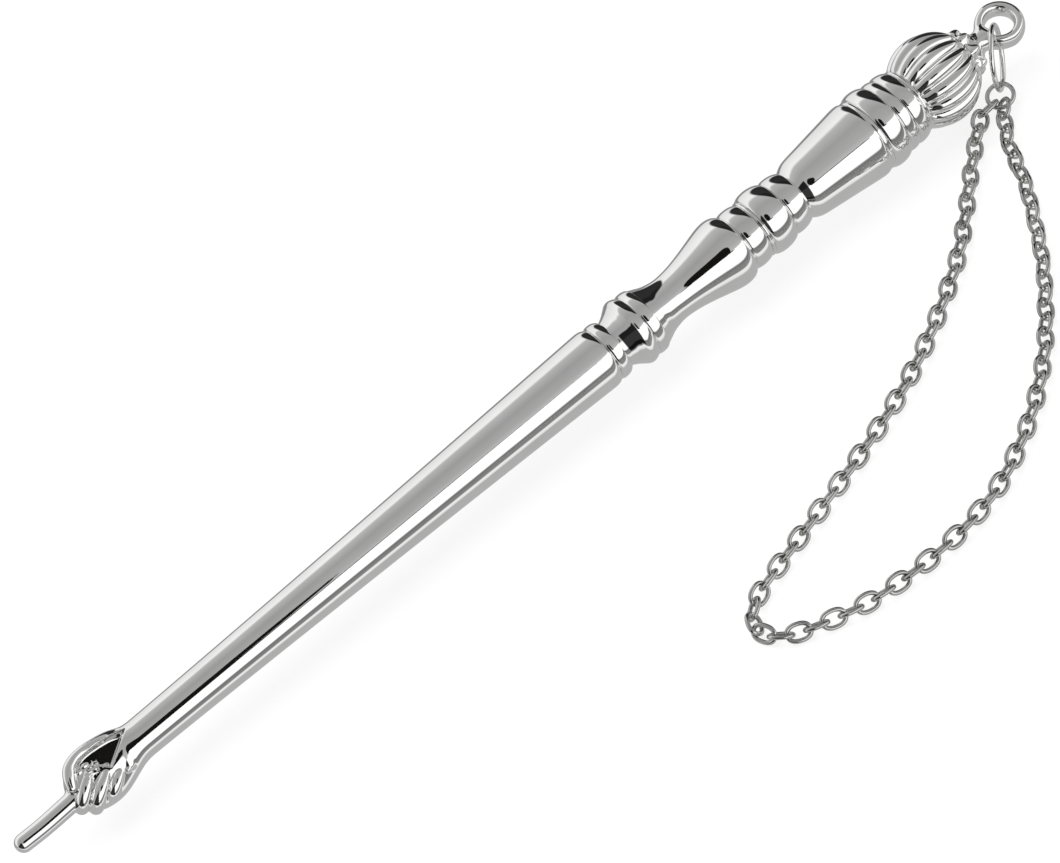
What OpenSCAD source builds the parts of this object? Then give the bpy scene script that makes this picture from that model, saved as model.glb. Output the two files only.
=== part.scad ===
// Reading pointer: a slim turned handle with a small pointing hand at one end,
// a fluted ball and a hanging eye at the other, and a fine chain loop on a ring.
// The pointer lies along X with the fingertip at -X, and rests on the plane z = 0.

/* [Handle] */
// Length over everything, from the fingertip to the end of the eye
total_l = 170; // [165:0.5:175]
// Radius of the shaft at the wrist
wrist_r = 2.66; // [2.5:0.02:2.8]
// Radius of the shaft at its shoulder
shoulder_r = 4.26; // [4.1:0.02:4.4]
// Radius of the fluted ball
ball_r = 6.28; // [6.2:0.02:6.4]
// Number of flutes on the ball
flutes = 16; // [14:2:18]

/* [Tie rod] */
// Radius of the rod that clamps the turned pieces
rod_r = 1.48; // [1.3:0.02:1.5]
// Radial clearance of the rod in its bores
rod_gap = 0.04; // [0.02:0.01:0.08]

/* [Eye and ring] */
// Outer radius of the hanging eye
eye_r = 3.45; // [3.4:0.05:3.5]
// Wall of the eye, measured in its own plane
eye_wall = 1.5; // [1.4:0.05:1.6]
// Depth of the eye, measured through its hole
eye_depth = 2.6; // [2.4:0.1:2.8]
// Roll of the eye about the handle
eye_roll = 10; // [8:1:12]
// Centreline radius of the jump ring
ring_r = 4.25; // [4.2:0.05:4.3]
// Wire radius of the jump ring
ring_wire_r = 0.35; // [0.3:0.01:0.36]

/* [Chain] */
// Wire radius of a chain link
link_wire_r = 0.3; // [0.26:0.01:0.31]
// Centreline radius of a link's round ends
link_end_r = 1.05; // [1.05:0.01:1.08]
// Number of links in the loop
link_count = 82; // [82:1:83]

/* [Hand] */
// Roll of the hand about the handle
hand_roll = 38; // [36:1:40]

/* [Hidden] */
$fn = 64;

axis_z = ball_r;
bore_r = rod_r + rod_gap;

// Stations along the handle, measured from the fingertip
wrist_x = 20.4;
shoulder_x = 96.0;
shaft_end = 97.3;
shaft_bead_end = 99.25;
spool_end = 103.2;
spool_ring_end = 104.8;
vase_end = 120.3;
bead_lower_end = 123.1;
bead_large_end = 127.4;
bead_upper_end = 130.3;
barrel_end = 142.7;
barrel_collar_end = 143.3;
ring_large_end = 146.3;
ring_middle_end = 147.9;
ring_small_end = 150.1;
ball_collar_end = 150.7;
ball_x = 154.9;
ball_end = 159.9;

// Radii at the seams between the turned pieces
shaft_end_r = 3.7;
shaft_bead_end_r = 3.36;
spool_end_r = 4.45;
spool_ring_end_r = 4.4;
vase_end_r = 4.1;
bead_lower_end_r = 3.95;
bead_large_end_r = 3.9;
bead_upper_end_r = 3.5;
barrel_end_r = 5.3;
ring_large_end_r = 5.1;
ring_middle_end_r = 5.05;
ring_small_end_r = 4.6;

// Crests and waists between those seams
shaft_flare_power = 1.25;
shaft_bead_crest_x = [97.9, 98.1];
shaft_bead_crest_r = 4.1;
spool_lip_x = 101.3;
spool_flare = 1.1;
spool_flare_l = 1.9;
spool_flare_power = 1.3;
spool_lip_r = 4.6;
spool_crest_r = 4.87;
spool_ring_crest_r = 4.67;
vase_waist_x = [108.9, 109.2];
vase_waist_r = 3.2;
vase_crest_x = [118.2, 118.5];
vase_crest_r = 4.93;
bead_lower_crest_r = 4.37;
bead_flange_l = 0.45;
bead_flange_r = 4.15;
bead_flange_crest_r = 4.2;
bead_large_crest_r = 4.66;
bead_upper_crest_r = 4.15;
barrel_foot_x = 132.4;
barrel_foot_r = 4.45;
barrel_crest_x = [141.3, 141.5];
barrel_crest_r = 5.55;
barrel_collar_r = 5.25;
barrel_collar_crest_r = 5.36;
ring_large_crest_r = 5.73;
ring_middle_crest_r = 5.3;
ring_small_crest_r = 5.22;
ball_collar_start_r = 4.5;
ball_collar_end_r = 4.4;
ball_collar_crest_r = 4.75;

arc_steps = 14;
curve_steps = 24;

// Flutes of the ball: round grooves that run from collar to crown
flute_r = 0.56;
flute_out = 0.3;
flute_reach = 62;

// Hand, in its own frame: x from the fingertip, y towards the thumb, z out of the palm
tenon_r = 1.3;
tenon_l = 6;
tenon_gap = 0.02;
finger_count = 3;
finger_pitch = 1.75;
finger_first_x = 10.9;
// Balls that each part of the hand is wrapped around: x, y, z, radius
index_balls = [[1.35, -0.5, 0, 1.35], [9.6, -0.7, -0.2, 1.6]];
palm_balls = [[12.2, 1.1, -0.9, 2.9], [12.4, -1.6, -0.9, 2.6]];
thumb_balls = [[11.2, 2.1, 0.7, 1.5], [14.2, 2.65, 0.4, 1.7], [18.4, 1.1, 0.2, 1.8]];
curled_balls = [[0, -3.05, -0.3, 1.3], [0.5, -2.4, 1.5, 1.1], [2.4, 0.2, 1.9, 0.95]];
heel_balls = [[18.2, -0.6, 0.6, 1.7], [16.6, -1.4, 1.6, 0.8]];

// Tie rod
rod_start = 83.6;
rod_end = 162.4;
rod_hole_start = 83.3;
rod_hole_end = 162.7;
thread_pitch = 0.5;
thread_depth = 0.16;
thread_run_out = 0.2;
shaft_thread_l = 13;
cap_thread_l = 3;

// Crown and eye
crown_x = ball_end;
crown_tip_x = 164.2;
petal_count = 8;
petal_r = 0.62;
petal_out = 2.9;
petal_x = crown_x + 1.1;
// Outline of the crown: radius, and distance past the ball
crown_outline = [[3.3, 0], [3.4, 0.5], [2.5, 1.2], [2.3, 1.5], [2.7, 1.9],
                 [2.7, 2.3], [2.1, 2.8], [1.2, crown_tip_x - crown_x]];
eye_x = total_l - eye_r;
eye_chamfer = 0.5;

// The jump ring stands on edge on the surface, in a vertical plane at this heading
ring_heading = 225.6;
ring_dir = [cos(ring_heading), sin(ring_heading)];
ring_x = 78.5;
ring_y = -2.5;
ring_z = ring_r + ring_wire_r;

// Connector ring that joins both ends of the chain to the jump ring
hook_angle = 46;
connector_r = 1.75;
connector_tilt = 13;
hook_gap = 0.24;

// Chain: joints are the places where neighbouring links touch
link_gap = 0.14;
// The straight sides of a link are this much slimmer than its round ends
link_neck = 0.02;
// and run this far into them
link_overlap = 0.06;
link_z = link_end_r * sin(45) + link_wire_r;
upper_links = 13;
middle_links = 13;
route_samples = 20;
// Middle line of the chain on the surface, from the connector ring, round, and back
route = [
    [74.6, -5.2], [71.8, -5.6], [69.4, -7.6], [65, -11.3], [60, -15.8], [54.7, -20.2],
    [48.8, -24], [42.6, -27.4], [36.4, -30.3], [29.6, -32.7], [22.8, -34.7],
    [16.1, -36.5], [9.3, -38.3], [3.9, -39.8], [1, -41.3], [-0.8, -44.2],
    [0.9, -47.1], [3.6, -48.7], [7.5, -50.3], [12.1, -51.7], [19.2, -52.5],
    [26.3, -52.4], [33.2, -51.1], [39.9, -48.2], [45.8, -44.6], [51.3, -40.2],
    [56.3, -35], [60.8, -29.6], [64.8, -23.7], [68.4, -17.8], [71.4, -11.4],
    [75.5, -6.1]
];

// Catmull-Rom curve through the route's points, cut into joints of equal spacing
function route_at(i) = route[max(0, min(len(route) - 1, i))];
function route_point(i, t) =
    let (a = route_at(i - 1), b = route_at(i), c = route_at(i + 1), d = route_at(i + 2))
    0.5 * (2 * b + (c - a) * t + (2 * a - 5 * b + 4 * c - d) * t * t
           + (3 * b - a - 3 * c + d) * t * t * t);
route_line = concat(
    [for (i = [0 : len(route) - 2], k = [0 : route_samples - 1])
        route_point(i, k / route_samples)],
    [route[len(route) - 1]]);
route_run = [for (i = 0, s = 0; i < len(route_line);
    s = s + (i + 1 < len(route_line) ? norm(route_line[i + 1] - route_line[i]) : 0),
    i = i + 1) s];
route_l = route_run[len(route_run) - 1];
run_x = [for (i = [0 : len(route_line) - 1]) [route_run[i], route_line[i].x]];
run_y = [for (i = [0 : len(route_line) - 1]) [route_run[i], route_line[i].y]];
joints = [for (i = [0 : link_count])
    let (s = i * route_l / link_count) [lookup(s, run_x), lookup(s, run_y)]];
link_pitch = route_l / link_count;
// Half the straight part of a link, which leaves link_gap of play between links
link_straight = (link_pitch + 2 * link_wire_r + link_gap) / 2 - link_end_r;

// Points of a rounded bulge from (x0, r0) to (x1, r1), with its crest at radius rm
function bulge(x0, x1, r0, r1, rm, steps = arc_steps) =
    [for (k = [0 : steps]) let (t = 180 * k / steps, u = (1 - cos(t)) / 2)
        [r0 + (r1 - r0) * u + (rm - (r0 + r1) / 2) * sin(t), x0 + (x1 - x0) * u]];
// Points of a quarter round that turns from the direction along to the direction in
function quarter_in(x0, r0, x1, r1, steps = 8) =
    [for (k = [0 : steps]) let (t = 90 * k / steps)
        [r1 + (r0 - r1) * cos(t), x0 + (x1 - x0) * sin(t)]];
function quarter_out(x0, r0, x1, r1, steps = 8) =
    [for (k = [0 : steps]) let (t = 90 * k / steps)
        [r0 + (r1 - r0) * sin(t), x1 - (x1 - x0) * cos(t)]];
// Points of a smooth S-curve between two radii
function ease(x0, x1, r0, r1, steps = 12) =
    [for (k = [0 : steps]) let (u = k / steps)
        [r0 + (r1 - r0) * (1 - cos(180 * u)) / 2, x0 + (x1 - x0) * u]];

// Places a shape turned about Z so that its axis lies along the handle
module along_handle() {
    translate([-total_l / 2, 0, axis_z])
        rotate([0, 90, 0])
            children();
}

// A turned piece with the rod's bore through it
module turned(outline, x0, x1) {
    along_handle()
        difference() {
            rotate_extrude()
                polygon(concat([[0, x0]], outline, [[0, x1]]));
            translate([0, 0, x0 - 1])
                cylinder(h = x1 - x0 + 2, r = bore_r);
        }
}

module balls(list, sides) {
    for (b = list)
        translate([b.x, b.y, b.z])
            sphere(r = b[3], $fn = sides);
}

module hand_shape() {
    hull()
        balls(index_balls, 28);
    // Back of the hand, down to the wrist
    hull() {
        balls(palm_balls, 28);
        translate([wrist_x - 1, 0, 0])
            rotate([0, 90, 0])
                cylinder(h = 1, r = wrist_r, $fn = 32);
    }
    hull()
        balls(thumb_balls, 24);
    for (i = [0 : finger_count - 1])
        translate([finger_first_x + i * finger_pitch, 0, 0])
            hull()
                balls(curled_balls, 20);
    hull()
        balls(heel_balls, 20);
}

module hand() {
    color("silver")
        translate([-total_l / 2, 0, axis_z])
            rotate([hand_roll, 0, 0]) {
                hand_shape();
                translate([wrist_x - 0.5, 0, 0])
                    rotate([0, 90, 0])
                        cylinder(h = tenon_l + 0.5, r = tenon_r);
            }
}

module shaft() {
    flare = [for (k = [0 : curve_steps]) let (u = k / curve_steps)
        [wrist_r + (shoulder_r - wrist_r) * pow(u, shaft_flare_power),
         wrist_x + (shoulder_x - wrist_x) * u]];
    color("silver")
        along_handle()
            difference() {
                rotate_extrude()
                    polygon(concat([[0, wrist_x]], flare,
                        quarter_in(shoulder_x, shoulder_r, shaft_end, shaft_end_r),
                        [[0, shaft_end]]));
                translate([0, 0, wrist_x - 1])
                    cylinder(h = tenon_l + 1.5, r = tenon_r + tenon_gap);
                translate([0, 0, rod_hole_start])
                    cylinder(h = shaft_end - rod_hole_start + 1, r = bore_r);
            }
}

// Thread shown as rings, between two stations
function thread(x0, length) =
    [for (k = [0 : 2 * length / thread_pitch])
        [k % 2 == 0 ? rod_r - thread_depth : rod_r, x0 + k * thread_pitch / 2]];

module tie_rod() {
    color("dimgray")
        along_handle()
            rotate_extrude()
                polygon(concat([[0, rod_start]],
                    thread(rod_start, shaft_thread_l),
                    [[rod_r, rod_start + shaft_thread_l + thread_run_out]],
                    [[rod_r, rod_end - cap_thread_l - thread_run_out]],
                    thread(rod_end - cap_thread_l, cap_thread_l),
                    [[0, rod_end]]));
}

module shaft_bead() {
    color("silver")
        turned(concat(
            quarter_out(shaft_end, shaft_end_r, shaft_bead_crest_x[0], shaft_bead_crest_r),
            quarter_in(shaft_bead_crest_x[1], shaft_bead_crest_r,
                shaft_bead_end, shaft_bead_end_r)),
            shaft_end, shaft_bead_end);
}

module spool() {
    color("silver")
        turned(concat(
            [[shaft_bead_end_r, shaft_bead_end]],
            [for (k = [1 : 6]) let (u = k / 6)
                [shaft_bead_end_r + spool_flare * pow(u, spool_flare_power),
                 shaft_bead_end + spool_flare_l * u]],
            bulge(spool_lip_x, spool_end, spool_lip_r, spool_end_r, spool_crest_r)),
            shaft_bead_end, spool_end);
}

module spool_ring() {
    color("silver")
        turned(bulge(spool_end, spool_ring_end, spool_end_r, spool_ring_end_r,
            spool_ring_crest_r),
            spool_end, spool_ring_end);
}

module vase() {
    color("silver")
        turned(concat(
            ease(spool_ring_end, vase_waist_x[0], spool_ring_end_r, vase_waist_r),
            ease(vase_waist_x[1], vase_crest_x[0], vase_waist_r, vase_crest_r),
            quarter_in(vase_crest_x[1], vase_crest_r, vase_end, vase_end_r)),
            spool_ring_end, vase_end);
}

module bead_lower() {
    color("silver")
        turned(bulge(vase_end, bead_lower_end, vase_end_r, bead_lower_end_r,
            bead_lower_crest_r),
            vase_end, bead_lower_end);
}

module bead_large() {
    flange_end = bead_lower_end + bead_flange_l;
    color("silver")
        turned(concat(
            bulge(bead_lower_end, flange_end, bead_lower_end_r, bead_flange_r,
                bead_flange_crest_r, 6),
            bulge(flange_end, bead_large_end, bead_flange_r, bead_large_end_r,
                bead_large_crest_r)),
            bead_lower_end, bead_large_end);
}

module bead_upper() {
    color("silver")
        turned(bulge(bead_large_end, bead_upper_end, bead_large_end_r,
            bead_upper_end_r, bead_upper_crest_r),
            bead_large_end, bead_upper_end);
}

module barrel() {
    color("silver")
        turned(concat(
            quarter_out(bead_upper_end, bead_upper_end_r, barrel_foot_x, barrel_foot_r),
            [[barrel_crest_r, barrel_crest_x[0]]],
            quarter_in(barrel_crest_x[1], barrel_crest_r, barrel_end, barrel_end_r)),
            bead_upper_end, barrel_end);
}

module barrel_collar() {
    color("silver")
        turned(bulge(barrel_end, barrel_collar_end, barrel_collar_r, barrel_collar_r,
            barrel_collar_crest_r, 6),
            barrel_end, barrel_collar_end);
}

module ring_large() {
    color("silver")
        turned(bulge(barrel_collar_end, ring_large_end, barrel_collar_r, ring_large_end_r,
            ring_large_crest_r),
            barrel_collar_end, ring_large_end);
}

module ring_middle() {
    color("silver")
        turned(bulge(ring_large_end, ring_middle_end, ring_large_end_r,
            ring_middle_end_r, ring_middle_crest_r),
            ring_large_end, ring_middle_end);
}

module ring_small() {
    color("silver")
        turned(bulge(ring_middle_end, ring_small_end, ring_middle_end_r,
            ring_small_end_r, ring_small_crest_r),
            ring_middle_end, ring_small_end);
}

module ball_collar() {
    color("silver")
        turned(bulge(ring_small_end, ball_collar_end, ball_collar_start_r, ball_collar_end_r,
            ball_collar_crest_r, 8),
            ring_small_end, ball_collar_end);
}

module fluted_ball() {
    color("silver")
        along_handle()
            difference() {
                translate([0, 0, ball_x])
                    sphere(r = ball_r);
                translate([0, 0, ball_x - 2 * ball_r])
                    cylinder(h = 2 * ball_r - (ball_x - ball_collar_end), r = 2 * ball_r);
                translate([0, 0, ball_end])
                    cylinder(h = 2 * ball_r, r = 2 * ball_r);
                translate([0, 0, ball_x - ball_r])
                    cylinder(h = 2 * ball_r, r = bore_r);
                for (i = [0 : flutes - 1])
                    translate([0, 0, ball_x])
                        rotate([0, 0, (i + 0.5) * 360 / flutes])
                            rotate([90, 0, 0])
                                rotate_extrude(angle = 2 * flute_reach, start = -flute_reach)
                                    translate([ball_r + flute_out, 0])
                                        circle(r = flute_r);
            }
}

module crown_eye() {
    eye_edge = eye_depth / 2 - eye_chamfer;
    color("silver") {
        along_handle()
            difference() {
                union() {
                    rotate_extrude()
                        polygon(concat([[0, crown_x]],
                            [for (p = crown_outline) [p.x, crown_x + p.y]],
                            [[0, crown_tip_x]]));
                    for (i = [0 : petal_count - 1])
                        rotate([0, 0, i * 360 / petal_count])
                            translate([petal_out, 0, petal_x])
                                sphere(r = petal_r, $fn = 24);
                }
                translate([0, 0, crown_x - 1])
                    cylinder(h = rod_hole_end - crown_x + 1, r = bore_r);
            }
        translate([eye_x - total_l / 2, 0, axis_z])
            rotate([eye_roll, 0, 0])
                rotate_extrude()
                    polygon([
                        [eye_r, -eye_edge], [eye_r, eye_edge],
                        [eye_r - eye_chamfer, eye_depth / 2],
                        [eye_r - eye_wall + eye_chamfer, eye_depth / 2],
                        [eye_r - eye_wall, eye_edge], [eye_r - eye_wall, -eye_edge],
                        [eye_r - eye_wall + eye_chamfer, -eye_depth / 2],
                        [eye_r - eye_chamfer, -eye_depth / 2]]);
    }
}

module jump_ring() {
    color("darkgray")
        translate([ring_x, ring_y, ring_z])
            rotate([90, 0, ring_heading])
                rotate_extrude()
                    translate([ring_r, 0])
                        circle(r = ring_wire_r);
}

// Small ring between the jump ring and the two ends of the chain
module connector() {
    hook_in = connector_r - (ring_wire_r + link_wire_r + hook_gap);
    hook_out = ring_r * cos(hook_angle) + hook_in * cos(connector_tilt);
    hook_down = ring_r * sin(hook_angle) + hook_in * sin(connector_tilt);
    translate([ring_x + hook_out * ring_dir.x, ring_y + hook_out * ring_dir.y,
               ring_z - hook_down])
        rotate([0, 0, ring_heading])
            rotate([0, connector_tilt, 0])
                rotate_extrude()
                    translate([connector_r, 0])
                        circle(r = link_wire_r);
}

// One oval link, long way along X and flat in XY
module link() {
    for (end = [-1, 1])
        translate([end * link_straight, 0, 0])
            rotate([0, 0, -90 * end])
                rotate_extrude(angle = 180)
                    translate([link_end_r, 0])
                        circle(r = link_wire_r, $fn = 32);
    for (side = [-1, 1])
        translate([-link_straight - link_overlap, side * link_end_r, 0])
            rotate([0, 90, 0])
                cylinder(h = 2 * (link_straight + link_overlap),
                         r = link_wire_r - link_neck, $fn = 32);
}

// Links first to last of the loop, each turned a quarter against its neighbours
module links(first, last) {
    for (i = [first : last]) {
        a = joints[i];
        b = joints[i + 1];
        translate([(a.x + b.x) / 2, (a.y + b.y) / 2, link_z])
            rotate([0, 0, atan2(b.y - a.y, b.x - a.x)])
                rotate([i % 2 == 0 ? 45 : -45, 0, 0])
                    link();
    }
}

module chain_upper() {
    color("gray") {
        connector();
        links(0, upper_links - 1);
        links(link_count - upper_links, link_count - 1);
    }
}

module chain_middle() {
    color("gray") {
        links(upper_links, upper_links + middle_links - 1);
        links(link_count - upper_links - middle_links, link_count - upper_links - 1);
    }
}

module chain_lower() {
    color("gray")
        links(upper_links + middle_links, link_count - upper_links - middle_links - 1);
}

hand();
shaft();
tie_rod();
shaft_bead();
spool();
spool_ring();
vase();
bead_lower();
bead_large();
bead_upper();
barrel();
barrel_collar();
ring_large();
ring_middle();
ring_small();
ball_collar();
fluted_ball();
crown_eye();
jump_ring();
chain_upper();
chain_middle();
chain_lower();
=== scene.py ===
"""Reading pointer (yad) of polished nickel with its chain loop, on a pale floor.

Metres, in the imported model's frame: the pointer lies along X with the fingertip at -X,
and everything rests on z = 0. Sizes below are in millimetres until they reach a mesh, apart
from the chain's route, the camera and the studio, which are in metres.
"""
import math

import bpy
import numpy as np
from mathutils import Matrix, Vector


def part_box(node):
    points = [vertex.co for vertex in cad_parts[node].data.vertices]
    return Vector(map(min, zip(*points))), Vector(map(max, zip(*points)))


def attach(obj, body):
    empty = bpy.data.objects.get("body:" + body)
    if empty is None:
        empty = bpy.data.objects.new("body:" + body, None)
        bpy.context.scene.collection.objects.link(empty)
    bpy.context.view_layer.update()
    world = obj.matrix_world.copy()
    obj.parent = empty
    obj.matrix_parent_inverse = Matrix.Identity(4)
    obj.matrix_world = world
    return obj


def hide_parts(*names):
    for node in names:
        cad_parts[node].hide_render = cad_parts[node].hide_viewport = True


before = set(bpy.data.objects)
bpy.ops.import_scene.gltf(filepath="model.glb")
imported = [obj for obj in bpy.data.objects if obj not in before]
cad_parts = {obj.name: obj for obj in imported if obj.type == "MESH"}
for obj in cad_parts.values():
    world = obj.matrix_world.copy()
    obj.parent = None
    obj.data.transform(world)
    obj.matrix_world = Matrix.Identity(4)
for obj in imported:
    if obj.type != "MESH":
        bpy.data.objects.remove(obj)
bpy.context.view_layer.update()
MM = 0.001

# ---------------------------------------------------------------- main sizes, in mm
TIP_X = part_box("hand")[0].x / MM
AXIS_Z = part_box("fluted_ball")[1].z / MM / 2
EYE_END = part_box("crown_eye")[1].x / MM
TOTAL_L = EYE_END - TIP_X
BORE_R = 1.52

# stations along the handle from the fingertip, as in the CAD
WRIST_X = 20.4
SHOULDER_X = 96.0
SHAFT_END = 97.3
SHAFT_BEAD_END = 99.25
SPOOL_END = 103.2
SPOOL_RING_END = 104.8
VASE_END = 120.3
BEAD_LOWER_END = 123.1
BEAD_LARGE_END = 127.4
BEAD_UPPER_END = 130.3
BARREL_END = 142.7
BARREL_COLLAR_END = 143.3
RING_LARGE_END = 146.3
RING_MIDDLE_END = 147.9
RING_SMALL_END = 150.1
BALL_COLLAR_END = 150.7
BALL_X = 154.9
BALL_END = 159.9
BALL_R = 6.28
FLUTES = 16
GROOVE_DEPTH = 0.72

TURNS = 160

# ---------------------------------------------------------------- mesh helpers


def new_object(name, verts, faces, scale=MM):
    """A smooth-shaded mesh object from points in mm."""
    mesh = bpy.data.meshes.new(name)
    verts = np.asarray(verts, dtype=float) * scale
    mesh.from_pydata([tuple(v) for v in verts], [], [tuple(f) for f in faces])
    mesh.validate()
    mesh.polygons.foreach_set("use_smooth", [True] * len(mesh.polygons))
    mesh.update()
    obj = bpy.data.objects.new(name, mesh)
    bpy.context.scene.collection.objects.link(obj)
    return obj


def finish_piece(obj, material, body, slot, *nodes, sharp=40):
    """Gives a piece its material and body, and hides the CAD nodes that it stands for."""
    obj.data.materials.append(material)
    if sharp:
        obj.data.set_sharp_from_angle(angle=math.radians(sharp))
    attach(obj, body)
    if nodes:
        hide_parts(*nodes)
    return obj


def revolve(name, outline, turns=TURNS):
    """A closed outline of (radius, station) points, turned about the handle's axis."""
    outline = [p for i, p in enumerate(outline)
               if i == 0 or math.dist(p, outline[i - 1]) > 1e-6]
    n = len(outline)
    angle = np.arange(turns) * 2 * math.pi / turns
    verts = [(TIP_X + x, r * math.cos(a), AXIS_Z + r * math.sin(a))
             for a in angle for r, x in outline]
    faces = []
    for i in range(turns):
        j = (i + 1) % turns
        for k in range(n):
            m = (k + 1) % n
            faces.append((i * n + k, i * n + m, j * n + m, j * n + k))
    return new_object(name, verts, faces)


def bulge(x0, x1, r0, r1, crest, steps=28):
    """A rounded bulge between two stations."""
    points = []
    for k in range(steps + 1):
        t = math.pi * k / steps
        u = (1 - math.cos(t)) / 2
        points.append((r0 + (r1 - r0) * u + (crest - (r0 + r1) / 2) * math.sin(t),
                       x0 + (x1 - x0) * u))
    return points


def quarter_in(x0, r0, x1, r1, steps=14):
    """A quarter round that starts along the axis and ends across it."""
    return [(r1 + (r0 - r1) * math.cos(math.pi / 2 * k / steps),
             x0 + (x1 - x0) * math.sin(math.pi / 2 * k / steps)) for k in range(steps + 1)]


def quarter_out(x0, r0, x1, r1, steps=14):
    """A quarter round that starts across the axis and ends along it."""
    return [(r0 + (r1 - r0) * math.sin(math.pi / 2 * k / steps),
             x1 - (x1 - x0) * math.cos(math.pi / 2 * k / steps)) for k in range(steps + 1)]


def smooth_line(points, steps=10):
    """Catmull-Rom curve through (radius, station) points."""
    p = [points[0]] + list(points) + [points[-1]]
    out = []
    for i in range(1, len(p) - 2):
        for k in range(steps):
            t = k / steps
            out.append(tuple(catmull(p[i - 1][c], p[i][c], p[i + 1][c], p[i + 2][c], t)
                             for c in (0, 1)))
    out.append(tuple(points[-1]))
    return out


def catmull(a, b, c, d, t):
    """The Catmull-Rom curve between b and c."""
    return 0.5 * (2 * b + (c - a) * t + (2 * a - 5 * b + 4 * c - d) * t * t
                  + (3 * b - a - 3 * c + d) * t ** 3)


def bored(outline):
    """Closes an outer outline with flat ends and the tie rod's bore."""
    x0, x1 = outline[0][1], outline[-1][1]
    return outline + [(BORE_R, x1), (BORE_R, x0)]


# ---------------------------------------------------------------- signed distance modelling


# parts of a tube further along the handle than NEAR are skipped; FAR is their distance
NEAR = 1.2
FAR = 6.0


def sd_capsule(p, a, b, ra, rb):
    """Distance to a tapered capsule, whose radius goes evenly from ra to rb."""
    a, b = np.array(a, float), np.array(b, float)
    ab = b - a
    t = np.clip((p - a) @ ab / (ab @ ab), 0, 1)
    return np.linalg.norm(p - a - t[..., None] * ab, axis=-1) - (ra + (rb - ra) * t)


def sd_ellipsoid(p, c, r):
    """About the distance to an ellipsoid with centre c and half sizes r."""
    r = np.array(r, float)
    q = (p - np.array(c, float)) / r
    k0 = np.linalg.norm(q, axis=-1)
    k1 = np.linalg.norm(q / r, axis=-1)
    return k0 * (k0 - 1) / np.maximum(k1, 1e-6)


def sd_path(p, points, radii, steps=6):
    """Distance to a round tube along a smooth curve, with its radius at each point."""
    rows = [(*at, radius) for at, radius in zip(points, radii)]
    rows = [rows[0]] + rows + [rows[-1]]
    line = [tuple(catmull(*(rows[i + o][c] for o in (-1, 0, 1, 2)), k / steps) for c in range(4))
            for i in range(1, len(rows) - 2) for k in range(steps)] + [rows[-1]]
    low, high = p[..., 0].min(), p[..., 0].max()
    d = np.full(p.shape[:-1], FAR)
    for a, b in zip(line, line[1:]):
        reach = max(a[3], b[3]) + NEAR
        if low < max(a[0], b[0]) + reach and high > min(a[0], b[0]) - reach:
            d = np.minimum(d, sd_capsule(p, a[:3], b[:3], a[3], b[3]))
    return d


def smooth_min(a, b, k):
    """Both shapes as one, with a fillet of about k where they meet."""
    if k <= 0:
        return np.minimum(a, b)
    h = np.clip(0.5 + 0.5 * (b - a) / k, 0, 1)
    return b + (a - b) * h - k * h * (1 - h)


def smooth_cut(a, b, k):
    """a without b, with a rounded edge."""
    return -smooth_min(-a, b, k)


def surface_net(distance, low, high, step, refine=3):
    """Closed mesh of the zero surface of a distance function, by surface nets."""
    low, high = np.array(low, float), np.array(high, float)
    counts = np.ceil((high - low) / step).astype(int) + 1
    axes = [low[i] + step * np.arange(counts[i]) for i in range(3)]
    field = np.empty(counts, dtype=np.float32)
    for i, x in enumerate(axes[0]):
        yy, zz = np.meshgrid(axes[1], axes[2], indexing="ij")
        field[i] = distance(np.stack([np.full_like(yy, x), yy, zz], axis=-1))
    inside = field < 0
    nx, ny, nz = counts - 1
    total = np.zeros((nx, ny, nz, 3), dtype=np.float32)
    hits = np.zeros((nx, ny, nz), dtype=np.int32)

    def corner(a, o):
        return a[o[0]:o[0] + nx, o[1]:o[1] + ny, o[2]:o[2] + nz]

    for axis in range(3):
        others = [i for i in range(3) if i != axis]
        for u in (0, 1):
            for v in (0, 1):
                o = [0, 0, 0]
                o[others[0]], o[others[1]] = u, v
                e = list(o)
                e[axis] = 1
                fa, fb = corner(field, o), corner(field, e)
                cross = (fa < 0) != (fb < 0)
                t = np.where(cross, fa / np.where(cross, fa - fb, 1), 0)
                for c in range(3):
                    total[..., c] += np.where(cross, o[c] + (t if c == axis else 0), 0)
                hits += cross
    used = hits > 0
    index = np.full((nx, ny, nz), -1, dtype=np.int64)
    index[used] = np.arange(used.sum())
    cells = np.argwhere(used)
    verts = low + step * (cells + total[used] / hits[used][:, None])
    faces = []
    for axis in range(3):
        u, v = [(1, 2), (2, 0), (0, 1)][axis]
        lo = [slice(None)] * 3
        hi = [slice(None)] * 3
        lo[axis], hi[axis] = slice(0, -1), slice(1, None)
        change = inside[tuple(lo)] != inside[tuple(hi)]
        where = np.argwhere(change)
        ok = (where[:, u] > 0) & (where[:, v] > 0)
        ok &= (where[:, u] < counts[u] - 1) & (where[:, v] < counts[v] - 1)
        where = where[ok]
        flip = inside[tuple(where.T)]
        quad = []
        for du, dv in ((-1, -1), (0, -1), (0, 0), (-1, 0)):
            w = where.copy()
            w[:, u] += du
            w[:, v] += dv
            quad.append(index[tuple(w.T)])
        quad = np.stack(quad, axis=1)
        quad[~flip] = quad[~flip][:, ::-1]
        faces.append(quad)
    faces = np.concatenate(faces)
    for _ in range(refine):
        d = distance(verts)
        h = step * 0.25
        grad = np.stack([distance(verts + h * np.eye(3)[c]) - distance(verts - h * np.eye(3)[c])
                         for c in range(3)], axis=-1) / (2 * h)
        verts = verts - np.clip(d, -step, step)[:, None] * grad / np.maximum(
            (grad ** 2).sum(axis=1), 0.2)[:, None]
    return verts, faces


# ---------------------------------------------------------------- materials


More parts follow.
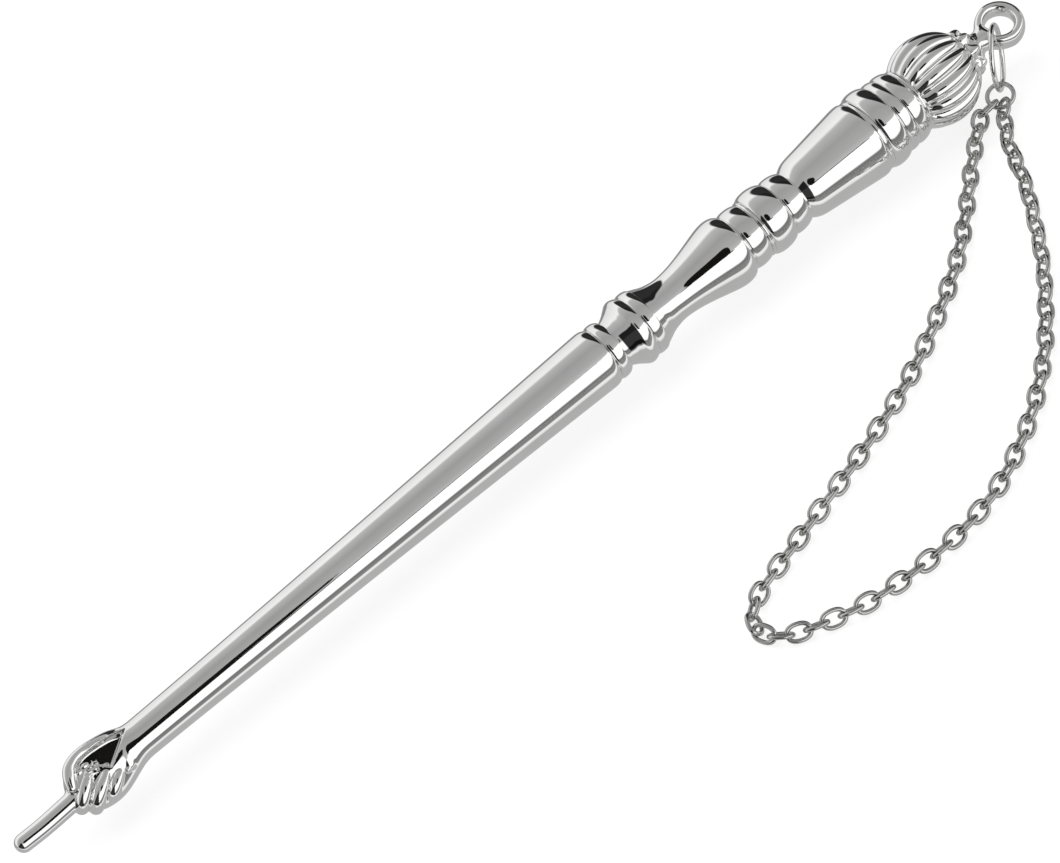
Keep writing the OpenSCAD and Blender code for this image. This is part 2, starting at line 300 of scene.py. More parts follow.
class Nodes:
    """Short calls to build a material's node tree."""

    def __init__(self, name):
        self.material = bpy.data.materials.new(name)
        self.material.use_nodes = True
        self.tree = self.material.node_tree
        self.shader = self.tree.nodes["Principled BSDF"]

    def add(self, kind, **values):
        node = self.tree.nodes.new(kind)
        for key, value in values.items():
            if key in node.inputs:
                node.inputs[key].default_value = value
            else:
                setattr(node, key, value)
        return node

    def link(self, a, b):
        self.tree.links.new(a, b)

    def noise(self, scale, detail=3.0, rough=0.5):
        coords = self.add("ShaderNodeTexCoord")
        noise = self.add("ShaderNodeTexNoise", Scale=scale, Detail=detail, Roughness=rough)
        self.link(coords.outputs["Object"], noise.inputs["Vector"])
        return noise

    def remap(self, source, low, high, to_low, to_high):
        ramp = self.add("ShaderNodeMapRange")
        for key, value in (("From Min", low), ("From Max", high),
                           ("To Min", to_low), ("To Max", to_high)):
            ramp.inputs[key].default_value = value
        self.link(source, ramp.inputs["Value"])
        return ramp.outputs["Result"]


def polished_metal(name, light, dark, roughness, ripple, ripple_scale=260.0):
    """Polished plate: faint tarnish clouds, hairline polishing and a slight ripple."""
    n = Nodes(name)
    n.shader.inputs["Metallic"].default_value = 1.0
    clouds = n.noise(180.0, 4.0, 0.55)
    ramp = n.add("ShaderNodeValToRGB")
    ramp.color_ramp.elements[0].position = 0.3
    ramp.color_ramp.elements[0].color = (*dark, 1)
    ramp.color_ramp.elements[1].position = 0.7
    ramp.color_ramp.elements[1].color = (*light, 1)
    n.link(clouds.outputs["Fac"], ramp.inputs["Fac"])
    n.link(ramp.outputs["Color"], n.shader.inputs["Base Color"])
    polish = n.noise(900.0, 6.0, 0.6)
    n.link(n.remap(polish.outputs["Fac"], 0.3, 0.7, roughness * 0.7, roughness * 1.5),
           n.shader.inputs["Roughness"])
    waves = n.noise(ripple_scale, 2.0, 0.4)
    bump = n.add("ShaderNodeBump", Strength=ripple, Distance=0.00008)
    n.link(waves.outputs["Fac"], bump.inputs["Height"])
    n.link(bump.outputs["Normal"], n.shader.inputs["Normal"])
    return n.material


def plain_floor(name):
    """Pale paper, lit from below as on a light table, so that the shadows stay faint."""
    n = Nodes(name)
    n.shader.inputs["Roughness"].default_value = 0.9
    n.shader.inputs["Specular IOR Level"].default_value = 0.1
    grain = n.noise(12.0, 2.0, 0.5)
    ramp = n.add("ShaderNodeValToRGB")
    ramp.color_ramp.elements[0].color = (0.16, 0.16, 0.16, 1)
    ramp.color_ramp.elements[1].color = (0.18, 0.18, 0.18, 1)
    n.link(grain.outputs["Fac"], ramp.inputs["Fac"])
    n.link(ramp.outputs["Color"], n.shader.inputs["Base Color"])
    n.shader.inputs["Emission Color"].default_value = (1, 1, 1, 1)
    n.shader.inputs["Emission Strength"].default_value = 0.85
    return n.material


def black_card(name):
    """Matt black cloth."""
    n = Nodes(name)
    n.shader.inputs["Roughness"].default_value = 1.0
    n.shader.inputs["Specular IOR Level"].default_value = 0.0
    cloth = n.noise(30.0, 2.0, 0.5)
    ramp = n.add("ShaderNodeValToRGB")
    ramp.color_ramp.elements[0].color = (0.004, 0.004, 0.004, 1)
    ramp.color_ramp.elements[1].color = (0.012, 0.011, 0.010, 1)
    n.link(cloth.outputs["Fac"], ramp.inputs["Fac"])
    n.link(ramp.outputs["Color"], n.shader.inputs["Base Color"])
    return n.material


# ---------------------------------------------------------------- camera

CAMERA_AT = Vector((-0.1461, -0.3830, 0.5023))
CAMERA_RIGHT = Vector((0.7494, -0.6123, -0.2521))
CAMERA_BACK = Vector((-0.2250, -0.5935, 0.7727))
SENSOR_MM = 36.0
LENS_MM = 172.4


def make_camera():
    """The camera at the photograph's viewing angle."""
    data = bpy.data.cameras.new("camera")
    data.sensor_width = SENSOR_MM
    data.lens = LENS_MM
    data.clip_start = 0.01
    data.clip_end = 20.0
    cam = bpy.data.objects.new("camera", data)
    bpy.context.scene.collection.objects.link(cam)
    back = CAMERA_BACK.normalized()
    right = (CAMERA_RIGHT - CAMERA_RIGHT.dot(back) * back).normalized()
    up = back.cross(right)
    turn = Matrix((right, up, back)).transposed()
    cam.matrix_world = Matrix.Translation(CAMERA_AT) @ turn.to_4x4()
    bpy.context.scene.camera = cam


# ---------------------------------------------------------------- chain

LINK_COUNT = 82
LINK_WIRE_R = 0.3
LINK_END_R = 1.05
LINK_GAP = 0.14
UPPER_LINKS = 13
MIDDLE_LINKS = 13
LINK_Z = LINK_END_R * math.sin(math.pi / 4) + LINK_WIRE_R
# the chain's middle line on the surface, in metres: the same points as in part.scad
ROUTE = [
    (0.0746, -0.0052), (0.0718, -0.0056), (0.0694, -0.0076), (0.065, -0.0113),
    (0.06, -0.0158), (0.0547, -0.0202), (0.0488, -0.024), (0.0426, -0.0274),
    (0.0364, -0.0303), (0.0296, -0.0327), (0.0228, -0.0347), (0.0161, -0.0365),
    (0.0093, -0.0383), (0.0039, -0.0398), (0.001, -0.0413), (-0.0008, -0.0442),
    (0.0009, -0.0471), (0.0036, -0.0487), (0.0075, -0.0503), (0.0121, -0.0517),
    (0.0192, -0.0525), (0.0263, -0.0524), (0.0332, -0.0511), (0.0399, -0.0482),
    (0.0458, -0.0446), (0.0513, -0.0402), (0.0563, -0.035), (0.0608, -0.0296),
    (0.0648, -0.0237), (0.0684, -0.0178), (0.0714, -0.0114), (0.0755, -0.0061),
]
ROUTE_SAMPLES = 20

RING_HEADING = math.radians(225.6)
RING_X, RING_Y = 78.5, -2.5
RING_R = 4.25
RING_WIRE_R = 0.35
RING_Z = RING_R + RING_WIRE_R
CONNECTOR_R = 1.75
HOOK_ANGLE = math.radians(46)
CONNECTOR_TILT = math.radians(13)
HOOK_GAP = 0.24


def chain_joints():
    """The places where neighbouring links touch, in mm, equally spaced along the route."""
    pts = [ROUTE[0]] + ROUTE + [ROUTE[-1]]
    line = []
    for i in range(1, len(pts) - 2):
        for k in range(ROUTE_SAMPLES):
            t = k / ROUTE_SAMPLES
            line.append([catmull(pts[i - 1][c], pts[i][c], pts[i + 1][c], pts[i + 2][c], t)
                         for c in (0, 1)])
    line.append(ROUTE[-1])
    line = np.array(line) / MM
    run = np.concatenate([[0], np.cumsum(np.linalg.norm(np.diff(line, axis=0), axis=1))])
    at = np.linspace(0, run[-1], LINK_COUNT + 1)
    return np.stack([np.interp(at, run, line[:, 0]), np.interp(at, run, line[:, 1])], axis=1), run[-1]


def wire_loop(path, across, radius, sides=14):
    """Verts and faces of a round wire along a closed path that lies in one plane."""
    path = np.asarray(path, float)
    n = len(path)
    along = np.roll(path, -1, axis=0) - np.roll(path, 1, axis=0)
    along /= np.linalg.norm(along, axis=1)[:, None]
    across = np.asarray(across, float)
    out = np.cross(along, across)
    angle = np.arange(sides) * 2 * math.pi / sides
    verts = (path[:, None] + radius * (np.cos(angle)[None, :, None] * out[:, None]
                                       + np.sin(angle)[None, :, None] * across)).reshape(-1, 3)
    faces = []
    for i in range(n):
        j = (i + 1) % n
        for k in range(sides):
            m = (k + 1) % sides
            faces.append((i * sides + k, j * sides + k, j * sides + m, i * sides + m))
    return verts, faces


def link_path(straight, steps=44, squareness=2.35):
    """Centreline of an oval link, long way along X, in the XY plane."""
    a = np.arange(steps) * 2 * math.pi / steps
    c, s = np.cos(a), np.sin(a)
    power = 2 / squareness
    return np.stack([(straight + LINK_END_R) * np.sign(c) * np.abs(c) ** power,
                     LINK_END_R * np.sign(s) * np.abs(s) ** power, 0 * a], axis=1)


def chain_piece(name, links, joints, straight, extra=None):
    """Some of the chain's links as one piece, each rolled half a right angle either way."""
    rng = np.random.default_rng(7)
    wobble = rng.uniform(-1, 1, (LINK_COUNT, 2))
    verts, faces = ([], []) if extra is None else ([extra[0]], list(extra[1]))
    base = 0 if extra is None else len(extra[0])
    for i in links:
        a, b = joints[i], joints[i + 1]
        heading = math.atan2(b[1] - a[1], b[0] - a[0])
        roll = math.radians((45 if i % 2 == 0 else -45) + 3 * wobble[i, 0])
        turn = np.array(Matrix.Rotation(heading, 3, "Z") @ Matrix.Rotation(roll, 3, "X"))
        path = link_path(straight) @ turn.T
        path += ((a[0] + b[0]) / 2, (a[1] + b[1]) / 2, LINK_Z)
        v, f = wire_loop(path, turn @ np.array((0, 0, 1.0)), LINK_WIRE_R)
        verts.append(v)
        faces += [tuple(k + base for k in q) for q in f]
        base += len(v)
    return new_object(name, np.concatenate(verts), faces)


def connector_wire():
    """The small ring that joins both ends of the chain to the jump ring."""
    head = np.array((math.cos(RING_HEADING), math.sin(RING_HEADING), 0.0))
    side = np.array((head[1], -head[0], 0.0))
    inset = CONNECTOR_R - (RING_WIRE_R + LINK_WIRE_R + HOOK_GAP)
    centre = np.array((RING_X, RING_Y, RING_Z))
    centre = centre + head * (RING_R * math.cos(HOOK_ANGLE) + inset * math.cos(CONNECTOR_TILT))
    centre[2] -= RING_R * math.sin(HOOK_ANGLE) + inset * math.sin(CONNECTOR_TILT)
    out = head * math.cos(CONNECTOR_TILT) - np.array((0, 0, math.sin(CONNECTOR_TILT)))
    angle = np.arange(64) * 2 * math.pi / 64
    path = centre + CONNECTOR_R * (np.cos(angle)[:, None] * out + np.sin(angle)[:, None] * side)
    return wire_loop(path, np.cross(out, side), LINK_WIRE_R)


def make_chain(steel):
    """The chain's three lengths, each with its links from both strands of the loop."""
    joints, length = chain_joints()
    pitch = length / LINK_COUNT
    straight = (pitch + 2 * LINK_WIRE_R + LINK_GAP) / 2 - LINK_END_R
    a, b = UPPER_LINKS, UPPER_LINKS + MIDDLE_LINKS
    n = LINK_COUNT
    parts = (("chain_upper", "chain_a", [*range(0, a), *range(n - a, n)], connector_wire()),
             ("chain_middle", "chain_b", [*range(a, b), *range(n - b, n - a)], None),
             ("chain_lower", "chain_c", [*range(b, n - b)], None))
    for node, body, links, extra in parts:
        piece = chain_piece(node + "_links", links, joints, straight, extra)
        finish_piece(piece, steel, body, "chain_steel", node, sharp=None)


def make_jump_ring(metal):
    """The wire ring through the eye, which stands on edge on the surface."""
    head = np.array((math.cos(RING_HEADING), math.sin(RING_HEADING), 0.0))
    up = np.array((0, 0, 1.0))
    angle = np.arange(160) * 2 * math.pi / 160
    path = (np.array((RING_X, RING_Y, RING_Z))
            + RING_R * (np.cos(angle)[:, None] * head + np.sin(angle)[:, None] * up))
    v, f = wire_loop(path, np.cross(head, up), RING_WIRE_R, 24)
    finish_piece(new_object("jump_ring_wire", v, f), metal, "ring", "ring_steel",
                 "jump_ring", sharp=None)


# ---------------------------------------------------------------- turned handle


# the shaft's radius at the wrist, what it gains up to the shoulder, and its far end
WRIST_R = 2.66
SHAFT_GAIN = 1.6
SHAFT_CURVE = 1.25
SHOULDER_R = 4.26
SHAFT_END_R = 3.7
SHAFT_STEPS = 60
# blind holes: the tie rod's at the shoulder and the hand's tenon at the wrist
ROD_HOLE_X = 83.3
TENON_R = 1.32
TENON_END = WRIST_X + 6.5


def shaft_outline():
    """The shaft's taper from wrist to shoulder, then its rounded end."""
    points = [(WRIST_R + SHAFT_GAIN * (k / SHAFT_STEPS) ** SHAFT_CURVE,
               WRIST_X + (SHOULDER_X - WRIST_X) * k / SHAFT_STEPS)
              for k in range(SHAFT_STEPS + 1)]
    return points + quarter_in(SHOULDER_X, SHOULDER_R, SHAFT_END, SHAFT_END_R)[1:]


def turned_outlines():
    """Outer outline of each turned piece: (radius, station) in mm."""
    return {
        "shaft_bead": quarter_out(SHAFT_END, SHAFT_END_R, 97.9, 4.1)
        + quarter_in(98.1, 4.1, SHAFT_BEAD_END, 3.36),
        "spool": smooth_line([(3.36, SHAFT_BEAD_END), (3.52, 99.7), (3.9, 100.4), (4.4, 101.1),
                              (4.74, 101.6), (4.86, 102.1), (4.72, 102.7), (4.45, SPOOL_END)]),
        "spool_ring": bulge(SPOOL_END, SPOOL_RING_END, 4.45, 4.4, 4.67),
        "vase": smooth_line([(4.4, SPOOL_RING_END), (4.05, 105.6), (3.55, 106.8), (3.26, 108.2),
                             (3.21, 109.4), (3.4, 111.2), (3.8, 113.2), (4.3, 115.2),
                             (4.75, 117), (4.92, 118.2), (4.86, 119.1), (4.6, 119.8),
                             (4.1, VASE_END)]),
        "bead_lower": bulge(VASE_END, BEAD_LOWER_END, 4.0, 3.9, 4.37),
        "bead_large": bulge(BEAD_LOWER_END, BEAD_LOWER_END + 0.45, 3.95, 4.0, 4.2, 12)
        + bulge(BEAD_LOWER_END + 0.45, BEAD_LARGE_END, 4.0, 3.85, 4.66)[1:],
        "bead_upper": bulge(BEAD_LARGE_END, BEAD_UPPER_END, 3.85, 3.5, 4.15),
        "barrel": smooth_line([(3.5, BEAD_UPPER_END), (3.85, 130.8), (4.2, 131.5),
                               (4.42, 132.4), (4.7, 134.6), (5.0, 137), (5.3, 139.4),
                               (5.5, 141), (5.56, 141.8), (5.5, 142.3), (5.3, BARREL_END)]),
        "barrel_collar": bulge(BARREL_END, BARREL_COLLAR_END, 5.22, 5.22, 5.36, 12),
        "ring_large": bulge(BARREL_COLLAR_END, RING_LARGE_END, 5.2, 5.05, 5.73),
        "ring_middle": bulge(RING_LARGE_END, RING_MIDDLE_END, 5.0, 4.95, 5.3),
        "ring_small": bulge(RING_MIDDLE_END, RING_SMALL_END, 4.95, 4.6, 5.22),
        "ball_collar": bulge(RING_SMALL_END, BALL_COLLAR_END, 4.5, 4.4, 4.75, 16),
    }


def make_handle(metal):
    """The shaft and every turned piece that is stacked on it."""
    rod_hole = [(BORE_R, SHAFT_END), (BORE_R, ROD_HOLE_X)]
    tenon_hole = [(TENON_R, TENON_END), (TENON_R, WRIST_X)]
    shaft = revolve_open("shaft_turned", shaft_outline(), rod_hole, tenon_hole)
    finish_piece(shaft, metal, "pointer", "polished_nickel", "shaft")
    for node, outline in turned_outlines().items():
        piece = revolve(node + "_turned", bored(outline))
        finish_piece(piece, metal, "pointer", "polished_nickel", node)


def revolve_open(name, outline, far_hole, near_hole, turns=TURNS):
    """An outline turned about the handle's axis, with a blind hole in each end."""
    rows = outline + far_hole + near_hole
    first = len(outline + far_hole)
    n = len(rows)
    verts = [(TIP_X + x, r * math.cos(a), AXIS_Z + r * math.sin(a))
             for a in np.arange(turns) * 2 * math.pi / turns for r, x in rows]
    faces = []
    for i in range(turns):
        j = (i + 1) % turns
        pairs = [(k, k + 1) for k in range(first - 1)] + [(first, first + 1), (first + 1, 0)]
        faces += [(i * n + k, i * n + m, j * n + m, j * n + k) for k, m in pairs]
    faces.append(tuple(i * n + first - 1 for i in range(turns)))
    faces.append(tuple(i * n + first for i in reversed(range(turns))))
    return new_object(name, verts, faces)


def dress_tie_rod(metal):
    """The hidden tie rod keeps its CAD shape and takes a duller steel."""
    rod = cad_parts["tie_rod"]
    if not rod.material_slots:
        rod.data.materials.append(metal)
    for slot in rod.material_slots:
        slot.material = metal


# ---------------------------------------------------------------- fluted ball


def make_ball(metal):
    """Rounded gadroons from collar to crown, with narrow grooves between them."""
    rows, per_lobe = 72, 22
    cols = FLUTES * per_lobe
    start = math.acos((BALL_COLLAR_END - BALL_X) / BALL_R)
    end = math.acos((BALL_END - BALL_X) / BALL_R)
    verts = []
    for i in range(cols):
        a = 2 * math.pi * i / cols
        u = 2 * ((i % per_lobe) / per_lobe) - 1
        dip = 0.9 * u * u + 0.1 * u ** 6
        for k in range(rows + 1):
            lat = start + (end - start) * k / rows
            x = BALL_X + BALL_R * math.cos(lat)
            fade = min(1.0, (1 - abs(2 * k / rows - 1)) * 7 + 0.35)
            r = BALL_R * math.sin(lat) - GROOVE_DEPTH * dip * fade * math.sin(lat)
            verts.append((TIP_X + x, r * math.cos(a), AXIS_Z + r * math.sin(a)))
        for x in (BALL_END, BALL_COLLAR_END):
            verts.append((TIP_X + x, BORE_R * math.cos(a), AXIS_Z + BORE_R * math.sin(a)))
    n = rows + 3
    faces = []
    for i in range(cols):
        j = (i + 1) % cols
        for k in range(n):
            m = (k + 1) % n
            faces.append((i * n + k, i * n + m, j * n + m, j * n + k))
    piece = new_object("fluted_ball_gadroons", verts, faces)
    finish_piece(piece, metal, "pointer", "polished_nickel", "fluted_ball", sharp=60)


# ---------------------------------------------------------------- crown and eye

CROWN_X = BALL_END
EYE_R = 3.45
EYE_HALF_WALL = 0.75
EYE_HALF_DEPTH = 1.28
EYE_X = TOTAL_L - EYE_R
EYE_ROLL = math.radians(10)
PETALS = 8


def crown_distance(p):
    """Crown of petals, neck and hanging eye: x from the fingertip, y and z from the axis."""
    x, y, z = p[..., 0], p[..., 1], p[..., 2]
    r = np.hypot(y, z)
    angle = np.arctan2(z, y)
    # cup of petals
    wave = np.cos(PETALS * angle)
    lip = 161.3 + 0.45 * wave
    flare = 3.25 + 0.28 * wave - 0.3 * (x - CROWN_X - 0.7) ** 2
    cup = -smooth_min(-np.maximum(r - flare, CROWN_X - x) * 0.7, (lip - x) * 0.7, 0.3)
    dome = sd_ellipsoid(p, (161.3, 0, 0), (1.5, 2.5, 2.5))
    d = smooth_min(cup, np.maximum(dome, CROWN_X - x), 0.2)
    # eyelets between the petals
    for i in range(PETALS):
        a = 2 * math.pi * (i + 0.5) / PETALS
        at = (161.15, 3.0 * math.cos(a), 3.0 * math.sin(a))
        d = smooth_cut(d, np.linalg.norm(p - np.array(at), axis=-1) - 0.34, 0.12)
    # neck
    d = smooth_min(d, sd_capsule(p, (161.8, 0, 0), (163.9, 0, 0), 1.75, 1.35), 0.35)
    # eye, slightly drawn out towards the neck
    c, s = math.cos(EYE_ROLL), math.sin(EYE_ROLL)
    ey, ez = y * c + z * s, -y * s + z * c
    ex = x - EYE_X
    back = np.clip(-ex / EYE_R, 0, 1)
    ring = np.hypot(ex, ey * (1 + 0.16 * back)) - (EYE_R - EYE_HALF_WALL)
    section = (np.abs(ring / EYE_HALF_WALL) ** 2.3
               + np.abs(ez / EYE_HALF_DEPTH) ** 2.3) ** (1 / 2.3)
    return smooth_min(d, (section - 1) * EYE_HALF_WALL, 0.7)


def make_crown(metal):
    """The crown, neck and eye as one mesh, kept inside its own stretch of the handle."""
    v, f = surface_net(crown_distance, (159.5, -4.2, -4.2), (170.4, 4.2, 4.2), 0.09)
    v[:, 0] = np.clip(v[:, 0], CROWN_X, TOTAL_L) + TIP_X
    v[:, 2] += AXIS_Z
    piece = new_object("crown_and_eye", v, f)
    finish_piece(piece, metal, "pointer", "polished_nickel", "crown_eye", sharp=55)


# ---------------------------------------------------------------- pointing hand

HAND_ROLL = math.radians(38)
# outline of the fist and wrist: station, thumb side, little-finger side, half depth, middle
FIST = [
    (8.6, 0.5, -1.7, 1.0, -0.3), (9.3, 1.4, -2.5, 1.5, -0.4), (10.5, 2.9, -3.4, 2.0, -0.5),
    (11.7, 3.7, -4.0, 2.25, -0.55), (13.0, 4.05, -4.25, 2.4, -0.55),
    (14.2, 4.1, -4.28, 2.45, -0.5), (15.4, 3.95, -4.1, 2.5, -0.4), (16.6, 3.72, -3.72, 2.56, -0.3),
    (17.7, 3.38, -3.3, 2.62, -0.16), (18.6, 3.02, -2.98, 2.65, -0.06),
    (19.3, 2.8, -2.78, 2.66, -0.01), (19.9, 2.67, -2.67, 2.66, 0), (23, 2.66, -2.66, 2.66, 0),
]
PALM_HOLLOW = [(11.4, 2.6), (12.6, 3.15), (15.8, 3.1), (19.7, 2.2), (15.3, -0.4), (13.9, 1.2),
               (12.4, 1.9)]
HOLLOW_FLOOR = 0.62


def fist_table(step=0.02, reach=1.4, blur=0.45):
    """The outline's columns, resampled and smoothed along the handle."""
    rows = np.array(FIST)
    at = np.arange(6.0, 25.0, step)
    span = np.arange(-reach, reach, step)
    weight = np.exp(-(span / blur) ** 2 / 2)
    weight /= weight.sum()
    columns = []
    for c in range(1, 5):
        fine = np.interp(at, rows[:, 0], rows[:, c])
        padded = np.pad(fine, len(span) // 2, mode="edge")[:len(at) + len(span) - 1]
        columns.append(np.convolve(padded, weight, mode="valid"))
    return at, columns


FIST_AT, FIST_COLUMNS = fist_table()


def sd_polygon(x, y, corners):
    """Distance in the plane to a closed polygon, negative inside."""
    best, inside = None, np.zeros(x.shape, bool)
    for (ax, ay), (bx, by) in zip(corners, corners[1:] + corners[:1]):
        ex, ey = bx - ax, by - ay
        t = np.clip(((x - ax) * ex + (y - ay) * ey) / (ex * ex + ey * ey), 0, 1)
        far = np.hypot(x - ax - t * ex, y - ay - t * ey)
        best = far if best is None else np.minimum(best, far)
        across = (ay > y) != (by > y)
        inside ^= across & (x < ax + (y - ay) * ex / (ey if ey else 1e-9))
    return np.where(inside, -best, best)


def hand_distance(p):
    """Right fist with its index finger out: x from the fingertip, y to the thumb, z to
    the palm side."""
    x, y, z = p[..., 0], p[..., 1], p[..., 2]
    top, low, deep, mid = (np.interp(x, FIST_AT, c) for c in FIST_COLUMNS)
    half = (top - low) / 2
    body = (np.hypot((y - (top + low) / 2) / half, (z - mid) / deep) - 1) * np.minimum(half, deep)
    body = -smooth_min(-body, x - 9.0, 0.9)
    index = sd_path(p, [(1.25, -0.72, 0.0), (4.6, -0.78, 0.05), (9.8, -0.6, 0.0)],
                    [1.25, 1.27, 1.32])
    d = smooth_min(body, index, 0.45)
    # hollow of the palm, under the thumb
    pit = -smooth_min(-sd_polygon(x, y, PALM_HOLLOW), z - HOLLOW_FLOOR, 0.14)
    d = smooth_cut(d, pit, 0.16)
    thumb = sd_path(p, [(19.2, 2.1, 0.2), (17.2, 2.95, 0.4), (13.7, 3.42, 0.6),
                        (11.5, 2.9, 0.9), (10.5, 1.8, 1.15), (10.0, 0.7, 1.25)],
                    [0.55, 0.6, 0.68, 0.8, 0.85, 0.72])
    d = smooth_min(d, thumb, 0.28)
    # heel of the palm, which runs down to the curl of the little finger
    heel = sd_path(p, [(19.7, 1.7, 0.85), (19.2, 1.35, 1.35), (18.2, 0.05, 1.85), (17.3, -1.7, 1.7)],
                   [0.4, 0.45, 0.5, 0.55])
    d = smooth_min(d, heel, 0.35)
    d = smooth_min(d, sd_ellipsoid(p, (16.7, -1.95, 1.7), (0.5, 0.42, 0.5)), 0.1)
    # curled fingers, each from its knuckle to its tip in the palm
    for points, radii in (
            ([(9.5, -1.9, 0.35), (10.1, -1.35, 1.25), (11.3, -0.3, 1.6), (12.5, 0.7, 1.4)],
             [0.98, 0.95, 0.92, 0.68]),
            ([(10.9, -3.0, 0.2), (11.6, -2.45, 1.3), (12.9, -1.5, 1.75), (14.3, -0.6, 1.5)],
             [1.0, 0.98, 0.92, 0.66]),
            ([(13.3, -3.2, 0.3), (13.9, -2.8, 1.25), (15.0, -2.05, 1.6), (16.1, -1.35, 1.4)],
             [0.95, 0.88, 0.8, 0.58])):
        d = smooth_min(d, sd_path(p, points, radii), 0.06)
    # fingertips folded into the palm, with the skin creased between them
    for at, size in (((12.85, 1.75, 1.2), (0.62, 0.42, 0.5)), ((13.9, 1.15, 1.25), (0.6, 0.4, 0.5)),
                     ((14.8, 0.1, 1.35), (0.62, 0.4, 0.45)), ((13.3, 0.55, 1.5), (0.5, 0.35, 0.4)),
                     ((11.9, 1.65, 1.25), (0.4, 0.5, 0.4))):
        d = smooth_min(d, sd_ellipsoid(p, at, size), 0.1)
    near = np.exp(-((x - 13.2) / 1.4) ** 2 - ((y - 1.0) / 0.9) ** 2 - ((z - 1.6) / 1.0) ** 2)
    d = d + 0.07 * near * np.sin(7 * x + 5 * y) * np.sin(8 * y - 4 * x)
    return np.maximum(d, x - WRIST_X - 0.35)


def make_hand(metal):
    """The pointing hand, rolled about the handle."""
    v, f = surface_net(hand_distance, (-0.4, -5.2, -4.4), (WRIST_X + 0.7, 5.2, 4.4), 0.1)
    v[:, 0] = np.clip(v[:, 0], 0, WRIST_X)
    c, s = math.cos(HAND_ROLL), math.sin(HAND_ROLL)
    y, z = v[:, 1].copy(), v[:, 2].copy()
    v = np.stack([v[:, 0] + TIP_X, y * c - z * s, AXIS_Z + y * s + z * c], axis=1)
    piece = new_object("pointing_hand", v, f)
    finish_piece(piece, metal, "pointer", "polished_nickel", "hand", sharp=55)


# ---------------------------------------------------------------- studio


def band_world():
    """Soft studio as the polished metal sees it: bright walls, a grey ceiling, a dark gap
    in front, with each band running along the handle."""
    scene = bpy.context.scene
    world = bpy.data.worlds.new("studio")
    scene.world = world
    world.use_nodes = True
    tree = world.node_tree
    nodes, links = tree.nodes, tree.links
    back = nodes["Background"]
    coords = nodes.new("ShaderNodeTexCoord")
    split = nodes.new("ShaderNodeSeparateXYZ")
    links.new(coords.outputs["Generated"], split.inputs[0])

    def math_node(op, a, b=None, c=None):
        node = nodes.new("ShaderNodeMath")
        node.operation = op
        for i, value in enumerate((a, b, c)):
            if value is None:
                continue
            if isinstance(value, (int, float)):
                node.inputs[i].default_value = value
            else:
                links.new(value, node.inputs[i])
        return node.outputs[0]

    x, y, z = split.outputs
    front = math_node("MULTIPLY", y, -1.0)
    turn = math_node("ARCTAN2", front, z)
    degrees = math_node("MULTIPLY", turn, 180 / math.pi)
    spread = math_node("MULTIPLY_ADD", degrees, 1 / 360, 0.5)
    ramp = nodes.new("ShaderNodeValToRGB")
    ramp.color_ramp.interpolation = "LINEAR"
    stops = [(-180, 0.46), (-140, 0.50), (-108, 0.20), (-100, 0.80), (-52, 0.95), (-42, 0.50),
             (-5, 0.36), (30, 0.42), (45, 0.52), (46.5, 1.2), (86, 1.2), (91, 0.18),
             (112, 0.26), (115, 0.95), (125, 0.85), (131, 0.46), (180, 0.46)]
    elements = ramp.color_ramp.elements
    while len(elements) < len(stops):
        elements.new(0.5)
    for element, (angle, value) in zip(elements, stops):
        element.position = (angle + 180) / 360
        element.color = (value, value, value, 1)
    links.new(spread, ramp.inputs["Fac"])

    def soft_step(source, low, high, to_low, to_high):
        node = nodes.new("ShaderNodeMapRange")
        node.interpolation_type = "SMOOTHSTEP"
        for key, value in (("From Min", low), ("From Max", high),
                           ("To Min", to_low), ("To Max", to_high)):
            node.inputs[key].default_value = value
        links.new(source, node.inputs["Value"])
        return node.outputs["Result"]

    # a dark doorway in front and to the left
    off = math_node("ABSOLUTE", math_node("ADD", degrees, -62.0))
    beside = soft_step(off, 43, 49, 1.0, 0.0)
    left = soft_step(x, -0.52, -0.44, 1.0, 0.0)
    doorway = math_node("MULTIPLY_ADD", math_node("MULTIPLY", beside, left), -0.97, 1.0)

    # a dark opening behind and to the right
    spot = Vector((0.72, 0.64, 0.27)).normalized()
    dot = math_node("MULTIPLY", x, spot.x)
    dot = math_node("MULTIPLY_ADD", y, spot.y, dot)
    dot = math_node("MULTIPLY_ADD", z, spot.z, dot)
    dark_side = soft_step(dot, 0.84, 0.885, 1.0, 0.03)
    shade = math_node("MULTIPLY", doorway, dark_side)
    mix = nodes.new("ShaderNodeMix")
    mix.data_type = "RGBA"
    mix.blend_type = "MULTIPLY"
    mix.inputs["Factor"].default_value = 1.0
    links.new(ramp.outputs["Color"], mix.inputs["A"])
    links.new(shade, mix.inputs["B"])
    links.new(mix.outputs["Result"], back.inputs["Color"])
    back.inputs["Strength"].default_value = 1.0


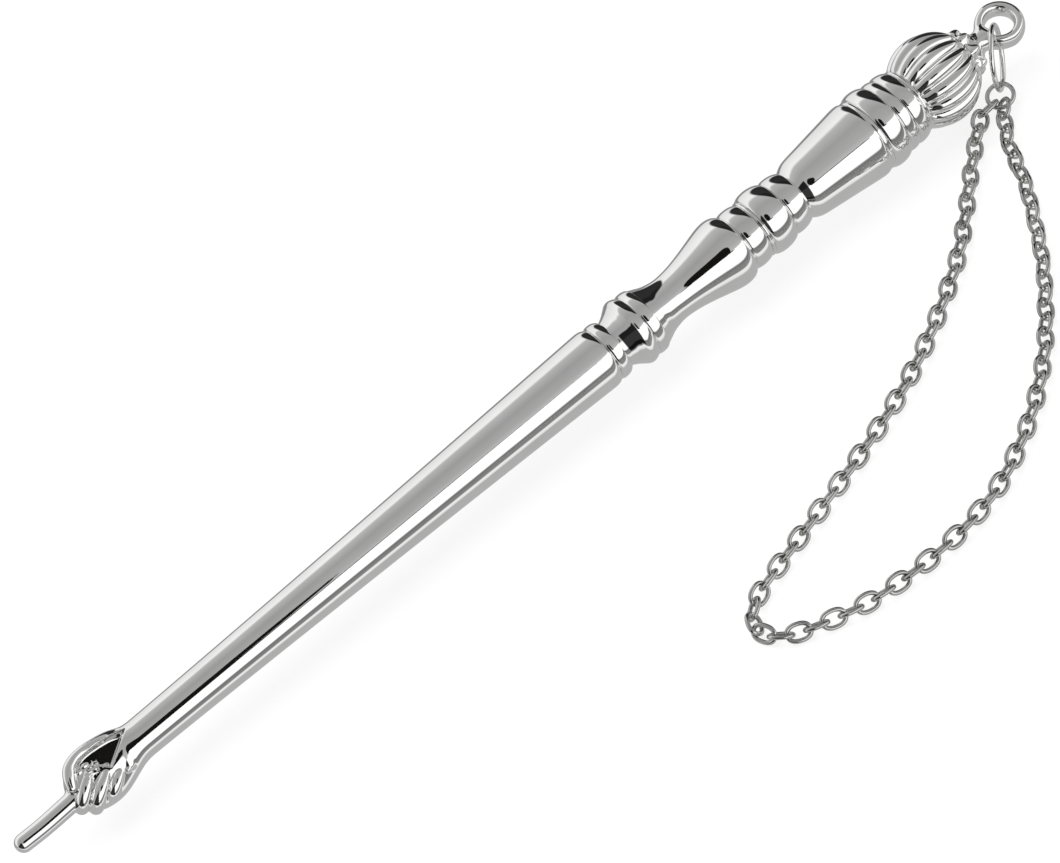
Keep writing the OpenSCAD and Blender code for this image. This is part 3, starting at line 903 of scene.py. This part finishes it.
def make_stage():
    """The floor, the dark cards and the softbox."""
    size = 3.0
    mesh = bpy.data.meshes.new("floor")
    mesh.from_pydata([(-size, -size, 0), (size, -size, 0), (size, size, 0), (-size, size, 0)],
                     [], [(0, 1, 2, 3)])
    floor = bpy.data.objects.new("floor", mesh)
    bpy.context.scene.collection.objects.link(floor)
    floor.location.z = -0.0002
    floor.data.materials.append(plain_floor("floor_paper"))
    # the metal sees the studio's own bands in place of the floor
    floor.visible_glossy = False

    # dark cards beside the camera, seen by the metal alone: a lens, which is the black line on
    # the shaft, and a thin strip that carries the line on past the shoulder
    reach, tilt = 0.64, math.radians(35.5)
    left, right, half = -0.22, 0.055, 0.142
    lens = [(left + (right - left) * (1 - math.cos(a)) / 2,
             half * math.copysign(abs(math.sin(a)) ** 0.8, math.sin(a)))
            for a in (2 * math.pi * k / 64 for k in range(64))]
    strip = [(-0.02, -0.142), (0.17, -0.130), (0.17, -0.124), (-0.02, -0.090)]
    black = black_card("card_black")
    for name, rim, step in (("dark_lens", lens, 0.0), ("dark_strip", strip, 0.002)):
        mesh = bpy.data.meshes.new(name)
        mesh.from_pydata([(u, -(reach + step) * math.sin(tilt) + w * math.cos(tilt),
                           (reach + step) * math.cos(tilt) + w * math.sin(tilt))
                          for u, w in rim], [], [tuple(range(len(rim)))])
        card = bpy.data.objects.new(name, mesh)
        bpy.context.scene.collection.objects.link(card)
        card.data.materials.append(black)
        card.visible_camera = False
        card.visible_shadow = False
        card.visible_diffuse = False

    light = bpy.data.lights.new("softbox", "AREA")
    light.shape = "DISK"
    light.size = 1.6
    light.energy = 22.0
    lamp = bpy.data.objects.new("softbox", light)
    lamp.location = (-0.25, 0.55, 1.3)
    lamp.rotation_mode = "QUATERNION"
    lamp.rotation_quaternion = lamp.location.to_track_quat("Z", "Y")
    lamp.visible_glossy = False
    bpy.context.scene.collection.objects.link(lamp)


# ---------------------------------------------------------------- making

make_camera()
bpy.context.scene.view_settings.view_transform = "Standard"
nickel = polished_metal("polished_nickel", (0.93, 0.93, 0.925), (0.88, 0.88, 0.875), 0.03, 0.10)
ring_metal = polished_metal("ring_wire", (0.88, 0.88, 0.87), (0.80, 0.80, 0.79), 0.08, 0.2, 700.0)
chain_metal = polished_metal("chain_wire", (0.66, 0.66, 0.65), (0.5, 0.5, 0.49), 0.08, 0.25, 900.0)
rod_metal = polished_metal("rod_steel", (0.45, 0.45, 0.44), (0.36, 0.36, 0.35), 0.3, 0.3, 500.0)

make_chain(chain_metal)
make_jump_ring(ring_metal)
make_handle(nickel)
make_ball(nickel)
make_crown(nickel)
make_hand(nickel)

dress_tie_rod(rod_metal)
band_world()
make_stage()
